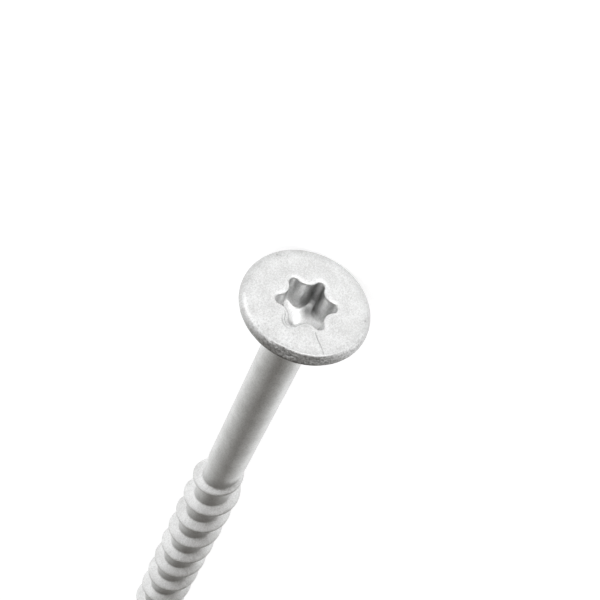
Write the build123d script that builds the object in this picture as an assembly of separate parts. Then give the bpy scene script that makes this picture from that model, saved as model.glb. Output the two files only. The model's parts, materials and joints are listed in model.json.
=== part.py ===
"""Countersunk wood screw with a six-lobe recess and a coarse thread, lying as it rests.

The screw is modelled upright, its axis on Z and the centre of its flat top at the origin,
with the point downwards. Then it is laid on its side, tilted so that the rim of the head
and the thread near the point both touch one level floor. Lengths are in millimetres and
angles in degrees. A depth is measured down from the top of the head, and a heading round
the axis from the side that ends up underneath.
"""

from build123d import *
import math
import os

# Head: flat top, rounded edge, a hair of straight rim, and a cone under it
head_diameter = 9.4
head_edge_round = 0.45
head_rim_height = 0.06
head_rim_round = 0.10
seat_angle = 90.0
neck_round = 0.8

# Shank, core of the thread, and point
screw_length = 64.0
shank_diameter = 3.3
core_diameter = 3.0
core_step_length = 1.6
point_length = 7.5
point_tip_diameter = 0.3
point_tip_round_share = 0.9

# Single right-hand thread with steep flanks and a narrow crest
thread_diameter = 4.7
thread_pitch = 3.45
thread_crest_width = 0.22
thread_flank_angle = 42.0
thread_run_in_turns = 1.3
thread_end_margin = 1.0
full_crest_depth = 28.6
full_crest_heading = 342.0
foot_sink_share = 0.3

# Six-lobe recess pressed into the head
recess_lobes = 6
recess_width_over_lobes = 4.52
recess_flute_depth = 0.63
recess_lobe_radius = 0.42
recess_side_wall = 0.38
recess_wall_taper = 2.0
recess_floor_angle = 150.0
recess_lip_chamfer = 0.12
recess_heading = 50.0

# Fineness of the curves along the thread
stations_per_turn = 10

head_radius = head_diameter / 2
shank_radius = shank_diameter / 2
core_radius = core_diameter / 2
tip_radius = point_tip_diameter / 2
half_seat = math.radians(seat_angle / 2)
rim_end_depth = head_edge_round + head_rim_height + head_rim_round * math.tan(half_seat / 2)
cone_end_depth = rim_end_depth + (head_radius - shank_radius) / math.tan(half_seat)
point_start_depth = screw_length - point_length
thread_start_depth = full_crest_depth - thread_run_in_turns * thread_pitch
thread_end_depth = screw_length - thread_end_margin
thread_turns = (thread_end_depth - thread_start_depth) / thread_pitch
lobe_step = 360 / recess_lobes
lobe_tip_radius = recess_width_over_lobes / 2
flute_top_radius = lobe_tip_radius - recess_flute_depth
recess_depth = rim_end_depth + (
    head_radius - lobe_tip_radius - recess_side_wall / math.cos(half_seat)
) / math.tan(half_seat)


def core_radius_at(depth):
    """Radius of the turned body from the start of the thread down to the point."""
    if depth < thread_start_depth + core_step_length:
        share = max(depth - thread_start_depth, 0.0) / core_step_length
        return shank_radius + share * (core_radius - shank_radius)
    share = max(depth - point_start_depth, 0.0) / point_length
    return core_radius + share * (tip_radius - core_radius)


def turned_body():
    """Head, shank, core and point, revolved from one half section."""
    tip_turn = 90 - math.degrees(math.atan((core_radius - tip_radius) / point_length))
    widest_tip_round = tip_radius / math.tan(math.radians(tip_turn / 2))
    corners = (
        ((head_radius, 0, 0), head_edge_round),
        ((head_radius, 0, -rim_end_depth), head_rim_round),
        ((shank_radius, 0, -cone_end_depth), neck_round),
        ((shank_radius, 0, -thread_start_depth), 0),
        ((core_radius, 0, -thread_start_depth - core_step_length), 0),
        ((core_radius, 0, -point_start_depth), 0),
        ((tip_radius, 0, -screw_length), point_tip_round_share * widest_tip_round),
    )
    top = (0, 0, 0)
    bottom = (0, 0, -screw_length)
    outline = FilletPolyline(
        top,
        *[place for place, corner_round in corners],
        bottom,
        radius=[corner_round for place, corner_round in corners],
    )
    return revolve(make_face(outline.edges() + Line(bottom, top).edges()), axis=Axis.Z)


def recess_outline():
    """Lobes joined by flutes, all tangent arcs, on the top of the head."""
    lobe_centre = lobe_tip_radius - recess_lobe_radius
    across = lobe_centre * math.cos(math.radians(lobe_step / 2))
    flute_radius = (
        recess_lobe_radius**2
        - lobe_centre**2
        - flute_top_radius**2
        + 2 * across * flute_top_radius
    ) / (2 * (flute_top_radius - across - recess_lobe_radius))
    flute_centre = flute_top_radius + flute_radius
    lobe_share = recess_lobe_radius / (recess_lobe_radius + flute_radius)

    def polar(radius, heading):
        return Vector(radius, 0, 0).rotate(Axis.Z, heading)

    def meeting_point(lobe_heading, side):
        start = polar(lobe_centre, lobe_heading)
        end = polar(flute_centre, lobe_heading + side * lobe_step / 2)
        return start + (end - start) * lobe_share

    arcs = []
    for lobe in range(recess_lobes):
        heading = recess_heading + lobe * lobe_step
        enter = meeting_point(heading, -1)
        leave = meeting_point(heading, 1)
        next_enter = meeting_point(heading + lobe_step, -1)
        flute_top = polar(flute_top_radius, heading + lobe_step / 2)
        arcs.append(ThreePointArc(enter, polar(lobe_tip_radius, heading), leave))
        arcs.append(ThreePointArc(leave, flute_top, next_enter))
    return make_face(arcs)


def recess_punch():
    """What pressed the recess: tapered lobes, cut off by a blunt conical nose."""
    nose_slope = 1 / math.tan(math.radians(recess_floor_angle / 2))
    nose_depth = recess_depth + flute_top_radius * nose_slope
    nose_radius = recess_width_over_lobes
    lobes = extrude(recess_outline(), amount=-nose_depth, taper=recess_wall_taper)
    nose = Polyline(
        (0, 0, 0),
        (nose_radius, 0, 0),
        (nose_radius, 0, nose_radius * nose_slope - nose_depth),
        (0, 0, -nose_depth),
        close=True,
    )
    return lobes & revolve(make_face(nose.edges()), axis=Axis.Z)


def pressed_head(body):
    """The turned body with its recess, whose lip is broken."""
    pressed = body - recess_punch()
    top_face = pressed.faces().sort_by(Axis.Z)[-1]
    return pressed.chamfer(recess_lip_chamfer, None, top_face.inner_wires().edges())


def crest_radius_at(turns):
    """Radius of the thread's crest: it rises out of the shank and sinks into the point."""
    depth = thread_start_depth + thread_pitch * turns
    core = core_radius_at(depth)
    buried = core * (1 - foot_sink_share / 2)
    full = core + (thread_diameter - core_diameter) / 2
    rise = min(turns / thread_run_in_turns, 1.0)
    to_end = (thread_end_depth - depth) / (thread_end_depth - point_start_depth)
    fall = min(max(to_end, 0.0), 1.0)
    return buried + (full - buried) * math.sin(math.pi / 2 * rise) * math.sqrt(fall)


def ridge_corners(turns):
    """Section of the thread's ridge, so many turns from its start.

    Its foot lies inside the core, so that the ridge and the core join all the way. Seen
    from the head, a right-hand thread turns clockwise as it goes down.
    """
    depth = thread_start_depth + thread_pitch * turns
    foot = core_radius_at(depth) * (1 - foot_sink_share)
    crest = crest_radius_at(turns)
    half_crest = thread_crest_width / 2
    half_foot = half_crest + (crest - foot) * math.tan(math.radians(thread_flank_angle / 2))
    heading = full_crest_heading + 360 * (thread_run_in_turns - turns)
    section = (
        Vector(foot, 0, half_foot - depth),
        Vector(crest, 0, half_crest - depth),
        Vector(crest, 0, -half_crest - depth),
        Vector(foot, 0, -half_foot - depth),
    )
    return [corner.rotate(Axis.Z, heading) for corner in section]


def thread_ridge():
    """The ridge, as one solid for each turn between the same four helical edges."""
    steps = math.ceil(thread_turns * stations_per_turn)
    sections = [ridge_corners(thread_turns * step / steps) for step in range(steps + 1)]
    helices = [Edge.make_spline(corner_path) for corner_path in zip(*sections)]
    pieces = []
    for start in range(0, steps, stations_per_turn):
        first = sections[start]
        last = sections[min(start + stations_per_turn, steps)]
        edges = [helix.trim(*ends) for helix, *ends in zip(helices, first, last)]
        faces = [
            Face.make_surface_from_curves(edge, neighbour)
            for edge, neighbour in zip(edges, edges[1:] + edges[:1])
        ]
        faces += [Face(Wire.make_polygon(section, close=True)) for section in (first, last)]
        pieces.append(Solid(Shell(faces)))
    return pieces


def resting_tilt():
    """Angle of the axis to a floor that the head's rim and the thread both touch.

    Of the crests that pass the underside, the one that meets the floor first, as the
    point comes down, carries the screw.
    """
    first_pass = (full_crest_heading / 360 + thread_run_in_turns) % 1
    tilts = []
    for whole_turns in range(math.floor(thread_turns - first_pass) + 1):
        turns = first_pass + whole_turns
        drop = head_radius - head_rim_round - crest_radius_at(turns)
        crest_depth = thread_start_depth + thread_pitch * turns + thread_crest_width / 2
        reach = crest_depth - rim_end_depth
        lean = math.atan2(drop, reach) + math.asin(head_rim_round / math.hypot(drop, reach))
        tilts.append(math.degrees(lean))
    return min(tilts)


def screw():
    """The whole screw, laid on its underside and turned so that its point is towards +X."""
    upright = pressed_head(turned_body()).fuse(*thread_ridge())
    return upright.rotate(Axis.Y, 90 - resting_tilt()).rotate(Axis.Z, 180)


os.makedirs("parts", exist_ok=True)
lying_screw = screw()
lying_screw.label = "screw"
export_step(lying_screw, "parts/screw.step")
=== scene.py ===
"""Looks of the lying wood screw: its coated steel in fine mesh, the floor, light and camera.

Lengths are in metres, and angles are written in degrees.
"""

import json
import math

import bpy
import numpy as np
from mathutils import Matrix, Vector, noise


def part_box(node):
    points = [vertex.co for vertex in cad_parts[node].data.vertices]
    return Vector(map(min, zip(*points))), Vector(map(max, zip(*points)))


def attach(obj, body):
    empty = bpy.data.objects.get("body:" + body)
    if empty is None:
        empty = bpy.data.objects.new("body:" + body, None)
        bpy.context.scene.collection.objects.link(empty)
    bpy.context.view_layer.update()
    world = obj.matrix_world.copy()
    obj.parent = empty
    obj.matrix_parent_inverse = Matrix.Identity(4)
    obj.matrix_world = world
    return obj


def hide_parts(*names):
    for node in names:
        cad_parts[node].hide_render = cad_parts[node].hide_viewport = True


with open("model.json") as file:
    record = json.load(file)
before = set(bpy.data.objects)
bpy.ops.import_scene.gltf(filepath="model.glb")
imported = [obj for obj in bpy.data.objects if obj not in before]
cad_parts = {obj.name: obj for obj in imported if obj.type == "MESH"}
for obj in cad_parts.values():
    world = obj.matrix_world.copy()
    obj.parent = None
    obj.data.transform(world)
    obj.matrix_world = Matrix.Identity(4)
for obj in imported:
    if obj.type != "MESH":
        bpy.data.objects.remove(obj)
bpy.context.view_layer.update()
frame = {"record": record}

mm = 0.001

# The screw's own axes, from the solid. A depth is measured down from the top of the head,
# and a heading round the axis, in degrees, from the side that lies underneath.
drive = next(m for m in frame["record"]["mounts"] if m["name"] == "drive_recess")
head_up = Vector(drive["axis"]).normalized()
underside = Vector((-head_up.z, 0, head_up.x))
sideways = head_up.cross(underside)
screw_place = Matrix((underside, sideways, head_up)).transposed().to_4x4()
screw_place.translation = Vector(drive["pos_m"])

# Head, as in the solid
box_low, box_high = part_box("screw")
head_radius = (box_high.y - box_low.y) / 2
edge_round = 0.45 * mm
rim_height = 0.06 * mm
rim_round = 0.10 * mm
neck_round = 0.8 * mm
seat_angle = math.radians(90)

# Shank, core and point, as in the solid
screw_length = 64.0 * mm
shank_radius = 1.65 * mm
core_radius = 1.5 * mm
core_step_length = 1.6 * mm
point_length = 7.5 * mm
tip_radius = 0.15 * mm
tip_round = 0.16 * mm
tip_flat_radius = 0.015 * mm

# Thread, as in the solid but with its crest and its root rounded off
thread_radius = 2.35 * mm
pitch = 3.45 * mm
half_crest = 0.11 * mm
half_flank_angle = math.radians(21)
root_round = 0.06 * mm
thread_run_in_turns = 1.3
thread_end_margin = 1.0 * mm
buried_share = 0.85
full_crest_depth = 28.6 * mm
full_crest_heading = 342.0

# Recess, as in the solid but for its steeper floor, its rounded lip and foot, and its zinc
lobes = 6
lobe_tip_radius = 2.26 * mm
flute_top_radius = 1.63 * mm
lobe_radius = 0.42 * mm
recess_side_wall = 0.38 * mm
recess_taper = math.radians(2)
recess_floor_slope = math.tan(math.radians(21))
recess_lip_width = 0.38 * mm
recess_lip_depth = 0.15 * mm
recess_foot_round = 0.28 * mm
recess_pool_radius = 0.25 * mm
recess_coat = 0.06 * mm
recess_heading = 50.0

# Fineness of the mesh: columns round the axis, and rows along each stretch of the outline
head_columns = 480
body_columns = 96
centre_columns = 48
floor_shares = (0.25, 0.4, 0.55, 0.7, 0.82, 0.92)
centre_share = 0.4
foot_steps = 8
wall_steps = 14
lip_steps = 9
top_steps = 23
edge_steps = 14
rim_steps = 4
cone_steps = 17
neck_steps = 7
shank_steps = 43

# Where the mesh has its rows across the thread: shares of half the crest, of half the root's
# width, and evenly on over the core
crest_shares = (0, 0.4, 0.75, 1.05, 1.5)
flank_shares = (0.55, 0.72, 0.87, 0.97, 1.08, 1.22)
core_start_share = 1.5
core_rows = 4

# How the thread's last turns are pressed together, so that the mesh ends on the tip
squeeze_length = 3 * mm
squeeze_gap = 0.05 * mm
tip_cap_height = 0.01 * mm

# Seam across the head's top, with a crook like a sine, and how the mesh's columns are
# drawn towards it
seam_heading = 216.9
seam_slant = 1.1
seam_start = 2.3 * mm
seam_end = 4.15 * mm
seam_half_width = 0.035 * mm
seam_crook = 0.05 * mm
seam_crook_rate = 2.9 / mm
seam_reach_down = 0.1 * mm
seam_least_share = 0.45
seam_fade_swings = 1.6
seam_depth = 0.04 * mm
seam_tone = 0.5
seam_pull = 0.72
seam_reach = 9.0

# Waves of the zinc coat all over: swings a millimetre and height
coat_waves = ((2.3, 0.006 * mm), (6.5, 0.004 * mm))

# Marks on the head lie above this depth, and the near side is the one that faces the camera.
# A tone multiplies the zinc's colour, and a spread is how many degrees from its heading a
# mark has faded to about a third.
marks_end = 1.0 * mm
near_side = 179.6

# The head's edge: lumpy, and duller outwards
edge_lump_radius = 4.5 * mm
edge_lump_width = 0.26 * mm
edge_lump_depth = 0.03 * mm
edge_lump_swings = 4.2
edge_dull_start = 3.8 * mm
edge_dull_width = 0.6 * mm
edge_dull_tone = 0.86
edge_clear_heading = near_side - 50
edge_clear_spread = 24
edge_clear_share = 0.8

# The near stretch of the edge: battered to a pitted bevel, with painted shade darkening it
battered_heading = near_side + 25
battered_spread = 41
worst_heading = near_side + 4
worst_spread = 22
worst_bevel_reach = 0.12 * mm
bevel_share = 0.95
bevel_fade = 0.16 * mm
bevel_dent_depth = 0.02 * mm
bevel_dent_swings = 5.0
bevel_dent_least = 0.3
bevel_shade_tone = 0.73
bevel_brink_back = 0.03 * mm
bevel_brink_width = 0.1 * mm
brink_shade_tone = 0.86
pit_depth = 0.005 * mm
pit_swings = 8.0
pit_level = 0.42
pit_range = 0.25
pit_shade_tone = 0.52

# Painted highlights: bright arcs on the edge beside the bevel, with heading, spread and tone
painted_highlight_arcs = ((near_side - 51, 17, 1.42), (near_side + 64, 24, 1.25))
highlight_arc_radius = 4.41 * mm
highlight_arc_width = 0.13 * mm
highlight_arc_end = 0.4 * mm

# Specks over the near half of the top
top_start = 1.9 * mm
top_end = 0.02 * mm
top_speck_swings = 5.5
top_speck_level = 0.5
top_speck_range = 0.25
top_speck_falloff = 1.5
top_speck_depth = 0.006 * mm
top_speck_tone = 0.88

# Painted light and shade in the recess: walls a little lighter, with painted shade on one side; a
# floor lit with painted light, with a patch of painted shade; a small bump on a wall with a painted
# highlight; and a painted highlight on the lip
recess_shade_start = 0.1 * mm
recess_shade_fade = 0.3 * mm
recess_bottom = 3.0 * mm
recess_shade_radius = lobe_tip_radius + 0.02 * mm
recess_dent_depth = 0.012 * mm
recess_dent_swings = 3.0
wall_light_tone = 1.08
shaded_wall_heading = 350.0
shaded_wall_spread = 30
wall_shade_share = 0.42
floor_rise = 0.42 * mm
floor_fade = 0.34 * mm
floor_light_tone = 1.15
floor_shade_heading = 349.0
floor_shade_radius = 1.45 * mm
floor_shade_width = 0.58 * mm
floor_shade_share = 0.9
floor_shade_least = 0.3
wall_bump_heading = 21.0
wall_bump_spread = 5
wall_bump_depth = 1.2 * mm
wall_bump_size = 0.2 * mm
wall_bump_height = 0.05 * mm
wall_bump_highlight_tone = 1.15
lip_start = 1e-4 * mm
lip_middle = 0.03 * mm
lip_width = 0.06 * mm
lip_end_radius = 2.7 * mm
lip_highlight_tone = 1.08

# Folds of metal on the recess's near lip: distance from the recess, heading, spread and tone
lip_folds = (
    (0.26 * mm, 155, 16, 0.4),
    (0.42 * mm, 159, 11, 0.45),
    (0.13 * mm, 180, 28, 0.5),
    (0.30 * mm, 196, 9, 0.65),
)
fold_width = 0.05 * mm
fold_depth = 0.03 * mm
fold_start_radius = 1.6 * mm
fold_end = 0.12 * mm

# Spots on the top: radius, heading, size, depth and tone
top_spots = (
    (4.24 * mm, 281.5, 0.07 * mm, 0.03 * mm, 0.55),
    (4.28 * mm, 51.6, 0.07 * mm, 0.03 * mm, 0.6),
    (4.10 * mm, 48.6, 0.06 * mm, 0.02 * mm, 0.7),
    (4.18 * mm, 147.6, 0.07 * mm, 0.03 * mm, 0.65),
    (3.9 * mm, 247.0, 0.06 * mm, 0.02 * mm, 0.75),
    (4.1 * mm, 246.0, 0.05 * mm, 0.02 * mm, 0.75),
    (3.0 * mm, 284.5, 0.06 * mm, 0.015 * mm, 0.85),
)

# Zinc: colours, the sizes of its grain in swings a millimetre, gloss and relief
zinc_light = (0.87, 0.875, 0.875, 1)
zinc_dull = (0.66, 0.66, 0.655, 1)
zinc_lightest = (0.985, 0.985, 0.98)
cloud_swings = 0.7
cloud_share = 0.3
grain_swings = 5.5
grain_detail = 3
grain_sharpness = 0.6
grain_share = 0.4
speck_swings = 11.0
speck_share = 0.3
mottle_range = (0.4, 0.6)
grain_range = (0.35, 0.65)
zinc_roughness = (0.36, 0.5)
bump_strength = 0.5
bump_height = 0.02 * mm
bump_grain_share = 0.6
bump_speck_share = 0.4

# Floor and light from all round. The glow is what only the camera and the steel see.
floor_half_width = 3.0
floor_colour = (0.65, 0.65, 0.65, 1)
floor_glow = 0.6
ambient_strength = 0.8

# Lamp over the head: direction and distance from what it shines at, size and watts
lamp_direction = (-0.45, -0.05, 0.85)
lamp_distance = 0.5
lamp_size = 0.3
lamp_power = 0.4

# Dark card round the near side. Its stations are places along the axis from the head's top,
# negative towards the point, with the angle that the card spans to each side there.
card_radius = 60 * mm
card_middle = -11.0
card_fade = 84.0
card_fade_power = 1.6
card_stations = (
    (150 * mm, 42.0),
    (5 * mm, 58.0),
    (-45 * mm, 104.0),
    (-100 * mm, 104.0),
    (-116 * mm, 60.0),
    (-264 * mm, 60.0),
)
card_columns = 48
card_dark = (0.125, 0.115, 0.105, 1)
card_pale = (0.62, 0.62, 0.60, 1)
card_paler_from = -104 * mm
card_paler_to = -122 * mm
card_paler_share = 0.35

# Bright card before the head: how far to the side and up it lies, as shares of the distance
bright_card_distance = 250 * mm
bright_card_half_width = 85 * mm
bright_card_aside = 0.19
bright_card_rise = 0.17
bright_card_strength = 3.2

# Camera, on the side of the head
camera_azimuth = -90.07
camera_elevation = 40.16
camera_roll = -153.65
camera_distance = 88.82 * mm
camera_aim = Vector((0.413, -0.520, -0.306)) * mm
camera_lens = 77.45
camera_sensor = 36.0

camera_back = Vector((
    math.sin(math.radians(camera_azimuth)) * math.cos(math.radians(camera_elevation)),
    -math.cos(math.radians(camera_azimuth)) * math.cos(math.radians(camera_elevation)),
    math.sin(math.radians(camera_elevation)),
))

# Places that follow from the sizes above
rim_end_depth = edge_round + rim_height + rim_round * math.tan(seat_angle / 4)
cone_end_depth = rim_end_depth + (head_radius - shank_radius) / math.tan(seat_angle / 2)
point_start_depth = screw_length - point_length
thread_start_depth = full_crest_depth - thread_run_in_turns * pitch
thread_end_depth = screw_length - thread_end_margin
recess_depth = rim_end_depth + (
    head_radius - lobe_tip_radius - recess_side_wall / math.cos(seat_angle / 2)
) / math.tan(seat_angle / 2)
nose_depth = recess_depth + flute_top_radius * recess_floor_slope
first_heading = full_crest_heading + 360 * thread_run_in_turns
flat_end = head_radius - edge_round


class Skin:
    """A closed mesh, put together from rows of points that run round the screw's axis."""

    def __init__(self):
        self.points = []
        self.faces = []

    def row(self, headings, radii, depths):
        """Adds a point at each heading and returns their numbers."""
        turns = np.radians(headings)
        radii = np.broadcast_to(radii, turns.shape)
        depths = np.broadcast_to(depths, turns.shape)
        first = len(self.points)
        self.points.extend(zip(radii * np.cos(turns), radii * np.sin(turns), -depths))
        return list(range(first, len(self.points)))

    def face(self, *corners):
        """Adds a face, leaving out a corner that is the same point as the one before it."""
        kept = [p for p, before in zip(corners, corners[-1:] + corners[:-1]) if p != before]
        if len(kept) > 2:
            self.faces.append(kept)

    def join_rows(self, before, after):
        """Fills between two closed rows that start at one heading, of any numbers of points."""
        i = 0
        j = 0
        while i < len(before) or j < len(after):
            next_before = (i + 1) / len(before)
            next_after = (j + 1) / len(after)
            here = before[i % len(before)], after[j % len(after)]
            if next_before <= next_after + 1e-9:
                i += 1
            if next_after <= next_before + 1e-9:
                j += 1
            self.face(here[0], here[1], after[j % len(after)], before[i % len(before)])

    def cap(self, row, depth, starts):
        """Closes a row with one point on the axis."""
        centre = self.row([0.0], 0.0, depth)[0]
        for here, after in zip(row, row[1:] + row[:1]):
            if starts:
                self.face(centre, here, after)
            else:
                self.face(here, centre, after)


def even_headings(columns, start=first_heading):
    return start + np.arange(columns) * 360 / columns


def angle_from(headings, heading):
    """Signed angles from a heading, between -180 and 180 degrees."""
    return (headings - heading + 180) % 360 - 180


def bell(distance, width):
    """1 where the distance is nothing, fading away over about a width."""
    return np.exp(-((distance / width) ** 2))


def recess_radius(headings, inset):
    """Radius of the recess's outline, moved inwards by inset, at each heading."""
    half_step = math.pi / lobes
    lobe_centre = lobe_tip_radius - lobe_radius
    across = lobe_centre * math.cos(half_step)
    flute_radius = (
        lobe_radius**2 - lobe_centre**2 - flute_top_radius**2 + 2 * across * flute_top_radius
    ) / (2 * (flute_top_radius - across - lobe_radius))
    flute_centre = flute_top_radius + flute_radius
    lobe_arc = lobe_radius - inset
    flute_arc = flute_radius + inset
    share = lobe_arc / (lobe_arc + flute_arc)
    meeting_x = lobe_centre + share * (flute_centre * math.cos(half_step) - lobe_centre)
    meeting_y = share * flute_centre * math.sin(half_step)
    turns = np.radians(headings - recess_heading)
    off_lobe = np.abs((turns + half_step) % (2 * half_step) - half_step)
    off_flute = half_step - off_lobe
    lobe_bow = np.maximum(lobe_arc**2 - (lobe_centre * np.sin(off_lobe)) ** 2, 0)
    flute_bow = np.maximum(flute_arc**2 - (flute_centre * np.sin(off_flute)) ** 2, 0)
    on_lobe = lobe_centre * np.cos(off_lobe) + np.sqrt(lobe_bow)
    on_flute = flute_centre * np.cos(off_flute) - np.sqrt(flute_bow)
    return np.where(off_lobe < np.arctan2(meeting_y, meeting_x), on_lobe, on_flute)


def core_radius_at(depth):
    """Radius of the turned body under the head, rounded off at the very tip."""
    step = np.clip((depth - thread_start_depth) / core_step_length, 0, 1)
    taper = np.clip((depth - point_start_depth) / point_length, 0, 1)
    cone = shank_radius + step * (core_radius - shank_radius) + taper * (tip_radius - core_radius)
    round_centre = screw_length - tip_round
    over = np.clip((depth - round_centre) / tip_round, 0, 1)
    dome = tip_flat_radius + tip_round * np.sqrt(1 - over**2)
    return np.where(depth > round_centre, np.minimum(cone, dome), cone)


def crest_radius_at(turns):
    """Radius of the thread's crest, so many turns from its start."""
    depth = thread_start_depth + pitch * turns
    core = core_radius_at(depth)
    buried = core * buried_share
    full = core + thread_radius - core_radius
    rise = np.clip(turns / thread_run_in_turns, 0, 1)
    fall = np.clip((thread_end_depth - depth) / (thread_end_depth - point_start_depth), 0, 1)
    return buried + (full - buried) * np.sin(math.pi / 2 * rise) * np.sqrt(fall)


def arc(centre_radius, centre_depth, size, first, last, steps):
    """Radii and depths along an arc, its angle measured from level outwards down the axis."""
    turns = np.radians(np.linspace(first, last, steps + 1))
    return zip(centre_radius + size * np.cos(turns), centre_depth + size * np.sin(turns))


def recess_floor_depth(radii):
    """Depth of the recess's floor: a blunt cone, with zinc pooled in its middle."""
    return nose_depth - np.hypot(radii, recess_pool_radius) * recess_floor_slope


def recess_rows(skin, headings):
    """From near the middle of the recess out over its floor, up its wall and round its lip."""
    inset_at_floor = (recess_depth - recess_lip_depth) * math.tan(recess_taper)
    wall_foot = recess_radius(headings, recess_coat + inset_at_floor)
    wall_start = recess_floor_depth(wall_foot) - recess_foot_round
    floor_end = wall_foot - recess_foot_round
    rows = []
    for share in floor_shares:
        radii = share * (share * floor_end + (1 - share) * floor_end.mean())
        rows.append(skin.row(headings, radii, recess_floor_depth(radii)))
    for bend in np.radians(np.linspace(0, 90, foot_steps + 1)):
        radii = floor_end + recess_foot_round * math.sin(bend)
        depths = recess_floor_depth(radii) - recess_foot_round * (1 - math.cos(bend))
        rows.append(skin.row(headings, radii, depths))
    for share in np.linspace(0, 1, wall_steps + 1)[1:]:
        radii = recess_radius(headings, recess_coat + inset_at_floor * (1 - share))
        rows.append(skin.row(headings, radii, wall_start + share * (recess_lip_depth - wall_start)))
    for bend in np.radians(np.linspace(0, 90, lip_steps + 1)[1:]):
        radii = recess_radius(headings, recess_coat - recess_lip_width * (1 - math.cos(bend)))
        rows.append(skin.row(headings, radii, recess_lip_depth * (1 - math.sin(bend))))
    return rows


def head_rows(skin, headings, even):
    """From the lip of the recess over the flat top, the rounded edge, the rim and the cone.

    Down the cone the columns go back from where the seam draws them to even ones.
    """
    rows = []
    lip = recess_radius(headings, recess_coat - recess_lip_width)
    for share in np.linspace(0, 1, top_steps + 1)[1:-1]:
        rows.append(skin.row(headings, lip + share * (flat_end - lip), 0.0))
    neck_depth = cone_end_depth + neck_round * math.tan(seat_angle / 4)
    rim_start = edge_round + rim_height
    rim = list(arc(head_radius - rim_round, rim_start, rim_round, 0, 45, rim_steps))
    neck = list(arc(shank_radius + neck_round, neck_depth, neck_round, 225, 180, neck_steps))
    outline = list(arc(flat_end, edge_round, edge_round, -90, 0, edge_steps)) + rim
    for share in np.linspace(0, 1, cone_steps + 1)[1:-1]:
        outline.append(tuple(a + share * (b - a) for a, b in zip(rim[-1], neck[0])))
    for radius, depth in outline + neck:
        evened = np.clip((depth - rim_end_depth) / (cone_end_depth - rim_end_depth), 0, 1)
        rows.append(skin.row(headings + evened * (even - headings), radius, depth))
    return rows, neck_depth


def section_offsets():
    """Offsets along the axis, from the crest to half a pitch each way, that sample the thread."""
    root = half_crest + (thread_radius - core_radius) * math.tan(half_flank_angle)
    crest = half_crest * np.array(crest_shares)
    flank = root * np.array(flank_shares)
    core = np.linspace(core_start_share * root, pitch / 2, core_rows)
    half = np.concatenate([crest, flank, core])
    return np.concatenate([-half[:0:-1], half])


def threaded_rows(skin):
    """The threaded stretch, as one strip that winds round the core a pitch further each turn.

    The strip grows from nothing over its first turn, which makes a level ring of its upper
    edge, and it shrinks to nothing over its last. In between it is a pitch wide, with the
    crest in its middle, and each turn shares its lower edge with the next. Near the tip the
    turns are pressed together a little, so that the last one ends on the tip.
    """
    offsets = section_offsets()
    steps = round((thread_end_depth - thread_start_depth + 2 * pitch) / pitch * body_columns)
    top = thread_start_depth - pitch / 2
    bottom = top + pitch * (steps / body_columns - 1)
    squeeze_start = screw_length - squeeze_length
    squeeze = (bottom - screw_length + squeeze_gap) / (bottom - squeeze_start) ** 2
    lines = []
    for step in range(steps + 1):
        turns = step / body_columns - 1
        upper = max(top, top + pitch * turns)
        lower = min(top + pitch * (turns + 1), bottom)
        along = (upper + lower) / 2 + offsets * (lower - upper) / pitch
        depths = along - squeeze * np.maximum(along - squeeze_start, 0) ** 2
        off_crest = along - thread_start_depth - pitch * turns
        fallen = (np.sqrt(off_crest**2 + half_crest**2) - half_crest) / math.tan(half_flank_angle)
        core = core_radius_at(depths)
        proud = crest_radius_at(turns) - fallen - core
        radii = core + (proud + np.sqrt(proud**2 + root_round**2)) / 2
        radii = np.minimum(radii, np.maximum(thread_radius, core))
        headings = np.full(len(offsets), first_heading - 360 * turns)
        if step == 0:
            line = skin.row(headings[:1], radii[:1], depths[:1]) * len(offsets)
        elif step < body_columns:
            line = skin.row(headings, radii, depths)
        elif step < steps:
            shared = lines[step - body_columns][-1:]
            line = shared + skin.row(headings[1:], radii[1:], depths[1:])
        else:
            line = lines[step - body_columns][-1:] * len(offsets)
        lines.append(line)
    for line, after in zip(lines, lines[1:]):
        for upper, lower, after_upper, after_lower in zip(line, line[1:], after, after[1:]):
            skin.face(after_upper, after_lower, lower, upper)
    upper_ring = [lines[0][0]] + [line[0] for line in lines[body_columns - 1 : 0 : -1]]
    first_end = steps - body_columns
    lower_ring = [lines[first_end][-1]] + [line[-1] for line in lines[steps - 1 : first_end : -1]]
    end_heading = first_heading - 360 * (first_end / body_columns - 1)
    return upper_ring, lower_ring, end_heading


def screw_skin():
    """The whole outside of the screw, from the middle of its recess to its tip."""
    skin = Skin()
    even = even_headings(head_columns)
    off_seam = angle_from(even, seam_heading)
    headings = even - seam_pull * off_seam * bell(off_seam, seam_reach)
    rows = recess_rows(skin, headings)
    inner_radius = centre_share * min(math.hypot(*skin.points[p][:2]) for p in rows[0])
    inner = skin.row(even_headings(centre_columns), inner_radius, recess_floor_depth(inner_radius))
    skin.cap(inner, recess_floor_depth(0.0), True)
    outer_rows, neck_depth = head_rows(skin, headings, even)
    rows = [inner] + rows + outer_rows
    upper_ring, lower_ring, end_heading = threaded_rows(skin)
    thread_top = -skin.points[upper_ring[0]][2]
    for depth in np.linspace(neck_depth, thread_top, shank_steps + 1)[1:-1]:
        rows.append(skin.row(even_headings(body_columns), shank_radius, depth))
    rows.append(upper_ring)
    for before, after in zip(rows, rows[1:]):
        skin.join_rows(before, after)
    end_depth = screw_length - tip_cap_height
    end_headings = even_headings(centre_columns, end_heading)
    end_ring = skin.row(end_headings, core_radius_at(end_depth), end_depth)
    skin.join_rows(lower_ring, end_ring)
    skin.cap(end_ring, screw_length, False)
    return skin


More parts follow.
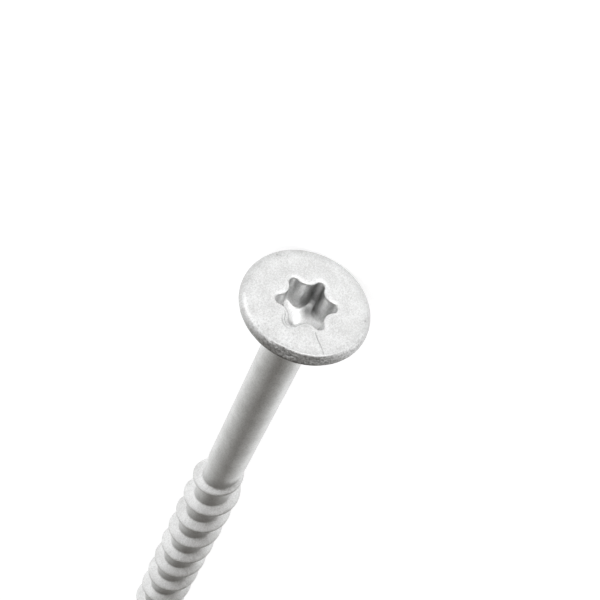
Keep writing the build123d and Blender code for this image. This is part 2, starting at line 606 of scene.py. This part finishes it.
class Coat:
    """The zinc coat at each point of the mesh: how far the skin sinks, and its tone, which carries
    painted light and shade as well as the coat's marks.
    """

    def __init__(self, points):
        self.points = np.array(points)
        self.radius = np.hypot(self.points[:, 0], self.points[:, 1])
        self.heading = np.degrees(np.arctan2(self.points[:, 1], self.points[:, 0]))
        self.depth = -self.points[:, 2]
        self.on_head = self.depth < marks_end
        self.relief = sum(height * self.clouds(swings) for swings, height in coat_waves)
        self.tone = np.ones(len(self.points))

    def clouds(self, per_mm):
        """Smooth random numbers from 0 to 1, with so many swings a millimetre."""
        return np.array([0.5 + 0.5 * noise.noise(Vector(p) * (per_mm / mm)) for p in self.points])

    def towards(self, heading, spread):
        """1 at a heading, fading away over about a spread to each side of it."""
        return bell(angle_from(self.heading, heading), spread)

    def mark(self, share, depth, tone):
        """Sinks the skin by a depth and shades it by a tone, in a share of full at each point."""
        self.relief += share * depth
        self.tone *= 1 + share * (tone - 1)

    def edge(self):
        """Small lumps all round the head's edge, which is duller the farther out."""
        dulled = np.clip((self.radius - edge_dull_start) / edge_dull_width, 0, 1) * self.on_head
        dulled *= 1 - edge_clear_share * self.towards(edge_clear_heading, edge_clear_spread)
        self.mark(dulled, 0.0, edge_dull_tone)
        on_edge = bell(self.radius - edge_lump_radius, edge_lump_width) * self.on_head
        self.mark(on_edge * self.clouds(edge_lump_swings) ** 2, edge_lump_depth, 1.0)

    def bevel(self):
        """The near stretch of the edge, beaten towards a flat bevel, dented and pitted, and darkened
        with painted shade on the bevel, along its brink and in its pits.
        """
        worst = self.towards(worst_heading, worst_spread)
        battered = np.maximum(self.towards(battered_heading, battered_spread), worst)
        start = flat_end - worst_bevel_reach * worst
        slant = (head_radius - start) / edge_round
        proud = np.clip(self.radius - start - self.depth * slant, 0, None)
        outward = np.clip((self.radius - flat_end) / edge_round, 0, 1)
        upward = np.clip(1 - self.depth / edge_round, 0, 1)
        to_bevel = proud / np.maximum(outward + slant * upward, 1)
        self.relief += battered * to_bevel * bevel_share * (self.depth < edge_round)
        beyond = np.clip((self.radius - start) / bevel_fade, 0, 1) * self.on_head
        dents = bevel_dent_least + (1 - bevel_dent_least) * self.clouds(bevel_dent_swings)
        # Painted shade: the bevel, a line along its brink and its pits are darkened
        self.mark(battered * beyond * dents, bevel_dent_depth, bevel_shade_tone)
        brink = worst * bell(self.radius - start + bevel_brink_back, bevel_brink_width)
        self.mark(brink * self.on_head, 0.0, brink_shade_tone)
        pits = np.clip((self.clouds(pit_swings) - pit_level) / pit_range, 0, 1)
        self.mark(np.sqrt(battered) * beyond * pits, pit_depth, pit_shade_tone)

    def paint_highlight_arcs(self):
        """Painted highlights: bright arcs on the edge, one to each side of the bevel."""
        # Painted highlight: a lighter tone along each arc
        for heading, spread, tone in painted_highlight_arcs:
            share = self.towards(heading, spread) * bell(self.radius - highlight_arc_radius, highlight_arc_width)
            self.mark(share * (self.depth < highlight_arc_end), 0.0, tone)

    def top_specks(self):
        """Coarse specks over the near half of the head's top."""
        nearness = 0.5 + 0.5 * np.cos(np.radians(angle_from(self.heading, near_side)))
        on_top = (self.radius > top_start) & (self.depth < top_end)
        specks = np.clip((self.clouds(top_speck_swings) - top_speck_level) / top_speck_range, 0, 1)
        share = nearness**top_speck_falloff * on_top * specks
        self.mark(share, top_speck_depth, top_speck_tone)

    def recess(self):
        """Painted light and shade: walls with painted shade on one side, a floor with painted light
        and a patch of painted shade, a bump on a wall with a painted highlight, and a painted
        highlight on the lip.
        """
        inside = (self.radius < recess_shade_radius) & (self.depth < recess_bottom)
        down = np.clip((self.depth - recess_shade_start) / recess_shade_fade, 0, 1) * inside
        wall = wall_light_tone - wall_shade_share * self.towards(shaded_wall_heading, shaded_wall_spread)
        turn = np.radians(angle_from(self.heading, floor_shade_heading))
        across = self.radius * np.sin(turn)
        from_floor_shade = np.hypot(self.radius * np.cos(turn) - floor_shade_radius, across)
        floor = floor_light_tone - floor_shade_share * bell(from_floor_shade, floor_shade_width)
        floor = np.maximum(floor, floor_shade_least)
        on_floor = np.clip((self.depth - recess_depth + floor_rise) / floor_fade, 0, 1)
        dents = recess_dent_depth * self.clouds(recess_dent_swings)
        # Painted light on the walls and floor, with painted shade on one wall and on a patch of the
        # floor
        self.mark(down, dents, wall + on_floor * (floor - wall))
        # A small raised bump on a wall, with a painted highlight
        speck = self.towards(wall_bump_heading, wall_bump_spread) * inside
        speck *= bell(self.depth - wall_bump_depth, wall_bump_size)
        self.mark(speck, -wall_bump_height, wall_bump_highlight_tone)
        # A painted highlight along the lip
        lip = bell(self.depth - lip_middle, lip_width) * (self.radius < lip_end_radius)
        self.mark(lip * (self.depth > lip_start), 0.0, lip_highlight_tone)

    def folds(self):
        """Thin folds of metal that the punch left beside the recess on its near side."""
        for outset, heading, spread, tone in lip_folds:
            across = self.radius - recess_radius(self.heading, recess_coat - outset)
            share = self.towards(heading, spread) * bell(across, fold_width)
            on_top = (self.radius > fold_start_radius) & (self.depth < fold_end)
            self.mark(share * on_top, fold_depth, tone)

    def seam(self):
        """A fine crooked crack from near the recess to the edge."""
        turn = np.radians(angle_from(self.heading, seam_heading))
        along = self.radius * np.cos(turn)
        from_middle = along - (seam_start + seam_end) / 2
        crook = seam_crook * np.sin(from_middle * seam_crook_rate)
        across = self.radius * np.sin(turn) - math.radians(seam_slant) * from_middle - crook
        inside = (along > seam_start) & (along < seam_end) & (self.depth < seam_reach_down)
        faded = seam_least_share + (1 - seam_least_share) * self.clouds(seam_fade_swings)
        self.mark(bell(across, seam_half_width) * inside * faded, seam_depth, seam_tone)

    def spots(self):
        """The few spots and nicks on the head's top."""
        for radius, heading, size, depth, tone in top_spots:
            turn = np.radians(angle_from(self.heading, heading))
            across = self.radius * np.sin(turn)
            along = self.radius * np.cos(turn) - radius
            self.mark(bell(np.hypot(along, across), size) * self.on_head, depth, tone)


def screw_mesh():
    """The coated screw, with its relief pressed into the smooth form."""
    skin = screw_skin()
    mesh = bpy.data.meshes.new("coated_screw")
    mesh.from_pydata([screw_place @ Vector(p) for p in skin.points], [], skin.faces)
    mesh.shade_smooth()
    coat = Coat(skin.points)
    coat.edge()
    coat.bevel()
    coat.paint_highlight_arcs()
    coat.top_specks()
    coat.recess()
    coat.folds()
    coat.seam()
    coat.spots()
    normals = [n.vector.copy() for n in mesh.vertex_normals]
    for vertex, normal, relief in zip(mesh.vertices, normals, coat.relief):
        vertex.co -= normal * relief
    tone = mesh.attributes.new("coat_tone_and_painted_light", "FLOAT", "POINT")
    tone.data.foreach_set("value", coat.tone)
    mesh.update()
    return mesh


class Nodes:
    """Short ways to build a material's nodes."""

    def __init__(self, tree):
        self.tree = tree
        tree.nodes.clear()

    def add(self, kind, **values):
        node = self.tree.nodes.new(kind)
        for name, value in values.items():
            setattr(node, name, value)
        return node

    def link(self, source, target):
        self.tree.links.new(source, target)

    def math(self, operation, a, b=None, clamp=False):
        node = self.add("ShaderNodeMath", operation=operation, use_clamp=clamp)
        for socket, value in zip(node.inputs, (a, b)):
            if value is None:
                continue
            if isinstance(value, (int, float)):
                socket.default_value = value
            else:
                self.link(value, socket)
        return node.outputs[0]

    def weigh(self, parts):
        """Adds up values, each times its own share."""
        weighed = [self.math("MULTIPLY", value, share) for value, share in parts]
        total = weighed[0]
        for value in weighed[1:]:
            total = self.math("ADD", total, value)
        return total

    def noise(self, coordinates, scale, detail=2.0, roughness=0.5):
        node = self.add("ShaderNodeTexNoise")
        node.inputs["Scale"].default_value = scale
        node.inputs["Detail"].default_value = detail
        node.inputs["Roughness"].default_value = roughness
        self.link(coordinates, node.inputs["Vector"])
        return node.outputs["Fac"]

    def spread(self, value, low, high, to_low, to_high):
        """Maps a value from one range onto another, without going past its ends."""
        node = self.add("ShaderNodeMapRange")
        node.inputs["From Min"].default_value = low
        node.inputs["From Max"].default_value = high
        node.inputs["To Min"].default_value = to_low
        node.inputs["To Max"].default_value = to_high
        self.link(value, node.inputs["Value"])
        return node.outputs["Result"]

    def mix(self, share, a, b):
        node = self.add("ShaderNodeMix", data_type="RGBA")
        for socket, value in ((node.inputs[0], share), (node.inputs[6], a), (node.inputs[7], b)):
            if isinstance(value, (int, float, tuple)):
                socket.default_value = value
            else:
                self.link(value, socket)
        return node.outputs[2]


def zinc_material():
    """Satin hot-dip zinc: pale, finely grained, a little cloudy."""
    material = bpy.data.materials.new("zinc_coat")
    material.use_nodes = True
    nodes = Nodes(material.node_tree)
    coordinates = nodes.add("ShaderNodeTexCoord")
    to_screw = nodes.add("ShaderNodeMapping")
    to_screw.inputs["Rotation"].default_value = screw_place.inverted().to_euler()
    to_screw.inputs["Scale"].default_value = (1 / mm,) * 3
    nodes.link(coordinates.outputs["Object"], to_screw.inputs["Vector"])
    place = to_screw.outputs["Vector"]
    clouds = nodes.noise(place, cloud_swings)
    grain = nodes.noise(place, grain_swings, grain_detail, grain_sharpness)
    specks = nodes.noise(place, speck_swings)
    parts = ((clouds, cloud_share), (grain, grain_share), (specks, speck_share))
    mottled = nodes.weigh(parts)
    # The tone carries the coat's marks together with painted light and shade
    tone = nodes.add("ShaderNodeAttribute", attribute_name="coat_tone_and_painted_light")
    shaded = nodes.add("ShaderNodeVectorMath", operation="SCALE")
    light_share = nodes.spread(mottled, *mottle_range, 0, 1)
    nodes.link(nodes.mix(light_share, zinc_dull, zinc_light), shaded.inputs[0])
    nodes.link(tone.outputs["Fac"], shaded.inputs["Scale"])
    colour = nodes.add("ShaderNodeVectorMath", operation="MINIMUM")
    nodes.link(shaded.outputs["Vector"], colour.inputs[0])
    colour.inputs[1].default_value = zinc_lightest
    shader = nodes.add("ShaderNodeBsdfPrincipled")
    shader.inputs["Metallic"].default_value = 1.0
    nodes.link(colour.outputs["Vector"], shader.inputs["Base Color"])
    nodes.link(nodes.spread(grain, *grain_range, *zinc_roughness), shader.inputs["Roughness"])
    bump = nodes.add("ShaderNodeBump")
    bump.inputs["Strength"].default_value = bump_strength
    bump.inputs["Distance"].default_value = bump_height
    height = nodes.weigh(((grain, bump_grain_share), (specks, bump_speck_share)))
    nodes.link(height, bump.inputs["Height"])
    nodes.link(bump.outputs["Normal"], shader.inputs["Normal"])
    output = nodes.add("ShaderNodeOutputMaterial")
    nodes.link(shader.outputs["BSDF"], output.inputs["Surface"])
    return material


def shown_ray(nodes):
    """1 for rays that see a background: the camera's, and those that metal or glass sends on."""
    path = nodes.add("ShaderNodeLightPath")
    seen = nodes.math("MAXIMUM", path.outputs["Is Camera Ray"], path.outputs["Is Glossy Ray"])
    return nodes.math("MAXIMUM", seen, path.outputs["Is Transmission Ray"])


def build_world():
    world = bpy.data.worlds.new("studio")
    bpy.context.scene.world = world
    world.use_nodes = True
    nodes = Nodes(world.node_tree)
    background = nodes.add("ShaderNodeBackground")
    strength = nodes.spread(shown_ray(nodes), 0, 1, ambient_strength, 1.0)
    nodes.link(strength, background.inputs["Strength"])
    output = nodes.add("ShaderNodeOutputWorld")
    nodes.link(background.outputs["Background"], output.inputs["Surface"])


def flat_square(name, half_width, place):
    mesh = bpy.data.meshes.new(name)
    corners = [(-half_width, -half_width, 0), (half_width, -half_width, 0)]
    corners += [(half_width, half_width, 0), (-half_width, half_width, 0)]
    mesh.from_pydata(corners, [], [(0, 1, 2, 3)])
    square = bpy.data.objects.new(name, mesh)
    square.matrix_world = place
    bpy.context.scene.collection.objects.link(square)
    return square


def build_floor():
    """A pale floor, white to the camera where no shadow falls on it."""
    floor = flat_square("floor", floor_half_width, Matrix.Translation((0, 0, box_low.z)))
    material = bpy.data.materials.new("pale_floor")
    material.use_nodes = True
    nodes = Nodes(material.node_tree)
    diffuse = nodes.add("ShaderNodeBsdfDiffuse")
    diffuse.inputs["Color"].default_value = floor_colour
    glow = nodes.add("ShaderNodeEmission")
    nodes.link(nodes.math("MULTIPLY", shown_ray(nodes), floor_glow), glow.inputs["Strength"])
    both = nodes.add("ShaderNodeAddShader")
    nodes.link(diffuse.outputs["BSDF"], both.inputs[0])
    nodes.link(glow.outputs["Emission"], both.inputs[1])
    output = nodes.add("ShaderNodeOutputMaterial")
    nodes.link(both.outputs["Shader"], output.inputs["Surface"])
    floor.data.materials.append(material)


def only_for_steel(card):
    """Leaves a card to be seen only where the steel mirrors it."""
    card.visible_camera = False
    card.visible_diffuse = False
    card.visible_shadow = False


def build_dark_card():
    """A dark card bent over the near side of the screw, the whole length of it and past it.

    Only the steel sees it, as the dark streak down its near side. It is darkest along its
    middle and pale at its two edges. It is narrower before the head, and narrower and paler
    where the thread mirrors it, than where the shank does.
    """
    near = camera_back - head_up * camera_back.dot(head_up)
    near.normalize()
    left = near.cross(head_up)
    points = []
    for along, half_width in card_stations:
        for turn in np.radians(np.linspace(-half_width, half_width, card_columns + 1)):
            points.append((card_radius * math.cos(turn), card_radius * math.sin(turn), along))
    row = card_columns + 1
    starts = [k * row + i for k in range(len(card_stations) - 1) for i in range(card_columns)]
    faces = [(i, i + 1, i + 1 + row, i + row) for i in starts]
    mesh = bpy.data.meshes.new("dark_card")
    mesh.from_pydata(points, [], faces)
    card = bpy.data.objects.new("dark_card", mesh)
    round_screw = Matrix.Rotation(math.radians(card_middle), 4, "Z")
    card.matrix_world = Matrix((near, left, head_up)).transposed().to_4x4() @ round_screw
    bpy.context.scene.collection.objects.link(card)
    only_for_steel(card)
    material = bpy.data.materials.new("dark_card")
    material.use_nodes = True
    nodes = Nodes(material.node_tree)
    coordinates = nodes.add("ShaderNodeTexCoord")
    axes = nodes.add("ShaderNodeSeparateXYZ")
    nodes.link(coordinates.outputs["Object"], axes.inputs["Vector"])
    turned = nodes.math("ABSOLUTE", nodes.math("ARCTAN2", axes.outputs["Y"], axes.outputs["X"]))
    along = axes.outputs["Z"]
    beyond_shank = nodes.spread(along, card_paler_to, card_paler_from, card_paler_share, 0)
    aside = nodes.spread(turned, 0, math.radians(card_fade), 0, 1)
    paleness = nodes.math("ADD", aside, beyond_shank, clamp=True)
    pale_share = nodes.math("POWER", paleness, card_fade_power)
    glow = nodes.add("ShaderNodeEmission")
    nodes.link(nodes.mix(pale_share, card_dark, card_pale), glow.inputs["Color"])
    output = nodes.add("ShaderNodeOutputMaterial")
    nodes.link(glow.outputs["Emission"], output.inputs["Surface"])
    card.data.materials.append(material)


def build_bright_card():
    """A bright card upright before the head, which only the steel sees.

    It shines in the lip of the recess and on its floor.
    """
    direction = head_up + Vector((0, bright_card_aside, bright_card_rise))
    direction.normalize()
    place = Matrix.Translation(direction * bright_card_distance)
    place = place @ direction.to_track_quat("Z", "Y").to_matrix().to_4x4()
    card = flat_square("bright_card", bright_card_half_width, place)
    only_for_steel(card)
    material = bpy.data.materials.new("bright_card")
    material.use_nodes = True
    nodes = Nodes(material.node_tree)
    glow = nodes.add("ShaderNodeEmission")
    glow.inputs["Strength"].default_value = bright_card_strength
    output = nodes.add("ShaderNodeOutputMaterial")
    nodes.link(glow.outputs["Emission"], output.inputs["Surface"])
    card.data.materials.append(material)


def build_lamp():
    """A soft lamp over the head, for the shadow on the floor. The steel doesn't mirror it."""
    light = bpy.data.lights.new("key_lamp", "AREA")
    light.shape = "DISK"
    light.size = lamp_size
    light.energy = lamp_power
    lamp = bpy.data.objects.new("key_lamp", light)
    direction = Vector(lamp_direction).normalized()
    lit_place = screw_place @ Vector((0, 0, -screw_length / 3))
    turn = direction.to_track_quat("Z", "Y").to_matrix().to_4x4()
    lamp.matrix_world = Matrix.Translation(lit_place + direction * lamp_distance) @ turn
    lamp.visible_glossy = False
    bpy.context.scene.collection.objects.link(lamp)


def build_camera():
    """The photograph's camera, turned so that the screw's point is at the picture's foot."""
    level = camera_back.to_track_quat("Z", "Y").to_matrix().to_4x4()
    turn = Matrix.Rotation(math.radians(camera_roll), 4, "Z")
    camera = bpy.data.objects.new("camera", bpy.data.cameras.new("camera"))
    place = Matrix.Translation(camera_aim + camera_back * camera_distance)
    camera.matrix_world = place @ level @ turn
    camera.data.lens = camera_lens
    camera.data.sensor_width = camera_sensor
    camera.data.clip_start = 1 * mm
    bpy.context.scene.collection.objects.link(camera)
    bpy.context.scene.camera = camera


coated_screw = bpy.data.objects.new("coated_screw", screw_mesh())
bpy.context.scene.collection.objects.link(coated_screw)
coated_screw.data.materials.append(zinc_material())
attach(coated_screw, "root")
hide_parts("screw")

build_world()
build_floor()
build_dark_card()
build_bright_card()
build_lamp()
build_camera()
bpy.context.scene.view_settings.view_transform = "Standard"
